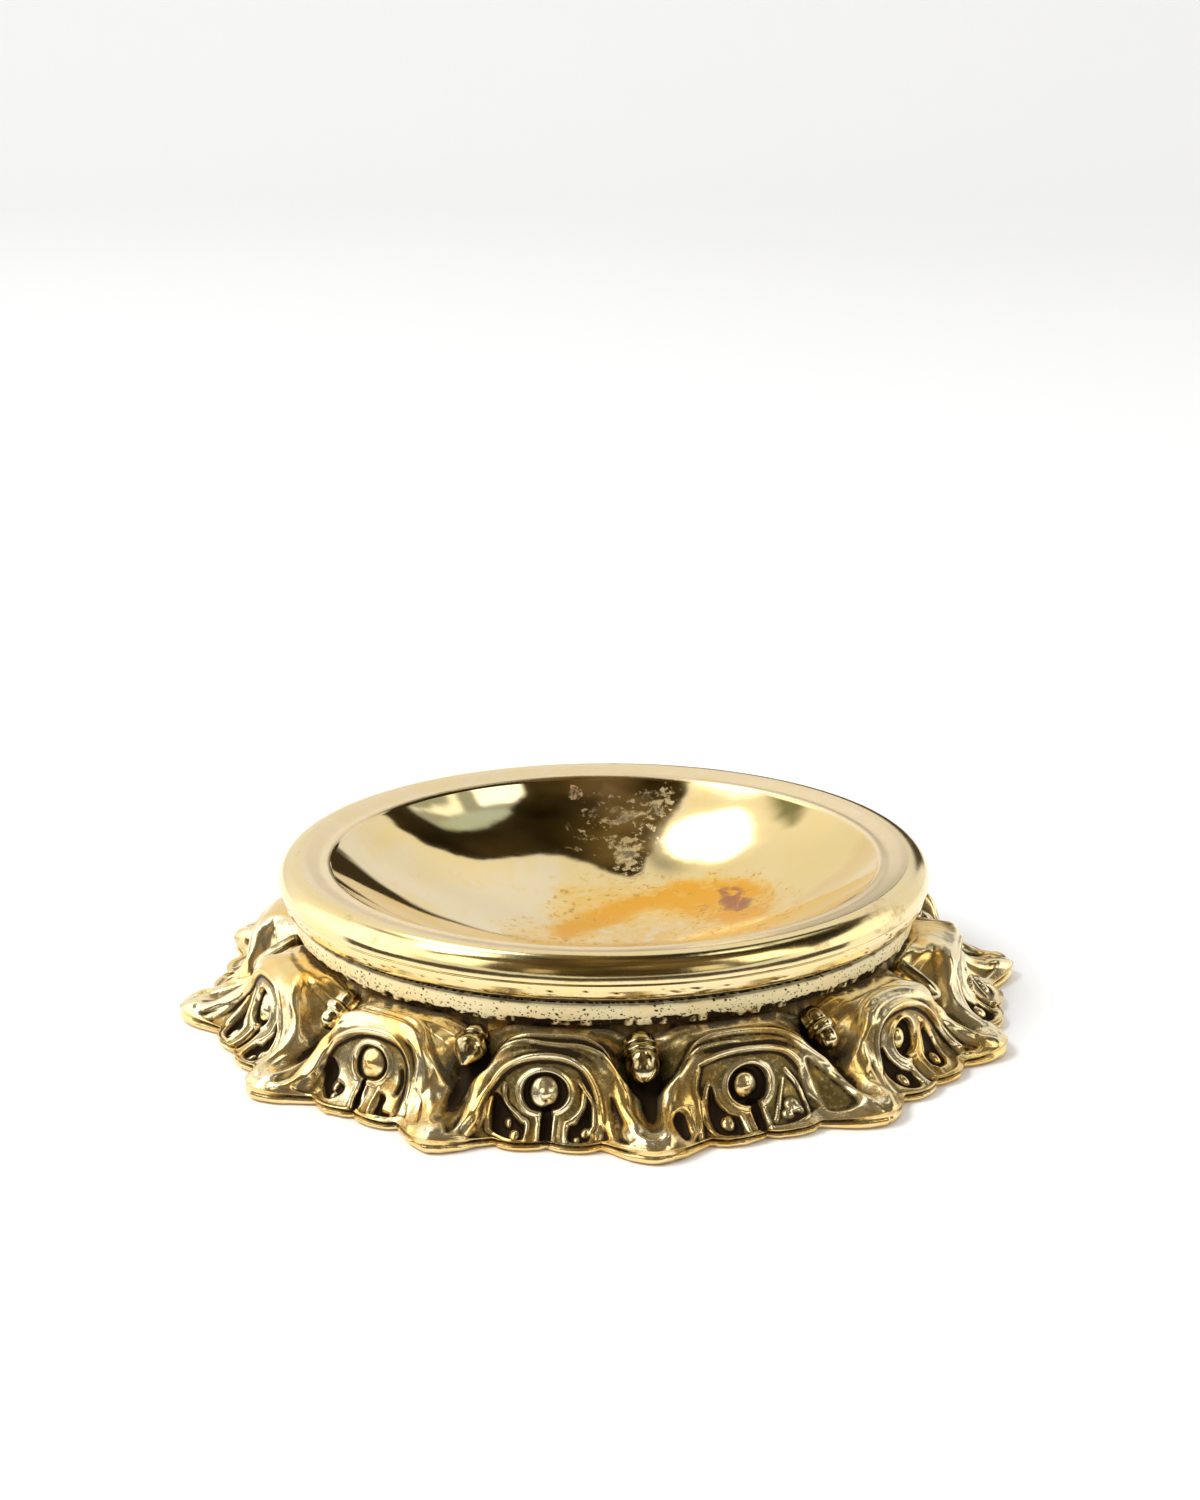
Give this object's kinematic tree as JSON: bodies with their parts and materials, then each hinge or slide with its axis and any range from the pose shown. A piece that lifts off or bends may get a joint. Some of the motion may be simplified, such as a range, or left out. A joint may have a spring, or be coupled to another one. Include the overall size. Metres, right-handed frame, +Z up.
{
  "type": "diya oil lamp",
  "caption": "Low brass oil lamp: a shallow turned bowl with a moulded rim on a scalloped lotus-petal skirt with a bud in each valley.",
  "frame": {"origin": "centre of the footprint, on the surface that the lamp rests on", "axes": "+Z up through the bowl's axis; -Y is the middle of one petal"},
  "size_m": [0.0969, 0.0977, 0.0189],
  "materials": {
    "turned_brass": "polished, lathe turned, amber oil stain inside the bowl",
    "band_brass": "cast, brushed, with dark casting pits",
    "cast_brass": "antiqued casting, polished on its high points and black-brown in its recesses",
    "bud_brass": "antiqued casting, polished on its high points",
    "plain_brass": "turned, unpolished",
    "steel": "plain steel"
  },
  "bodies": {
    "root": {"oil_bowl": "turned_brass", "neck_ring": "band_brass", "petal_skirt": "cast_brass", "clamp_ring": "plain_brass", "clamp_screws": "steel", "lock_washers": "steel", "bud_01": "bud_brass", "bud_02": "bud_brass", "bud_03": "bud_brass", "bud_04": "bud_brass", "bud_05": "bud_brass", "bud_06": "bud_brass", "bud_07": "bud_brass", "bud_08": "bud_brass", "bud_09": "bud_brass", "bud_10": "bud_brass", "bud_11": "bud_brass", "bud_12": "bud_brass"}
  },
  "joints": []
}
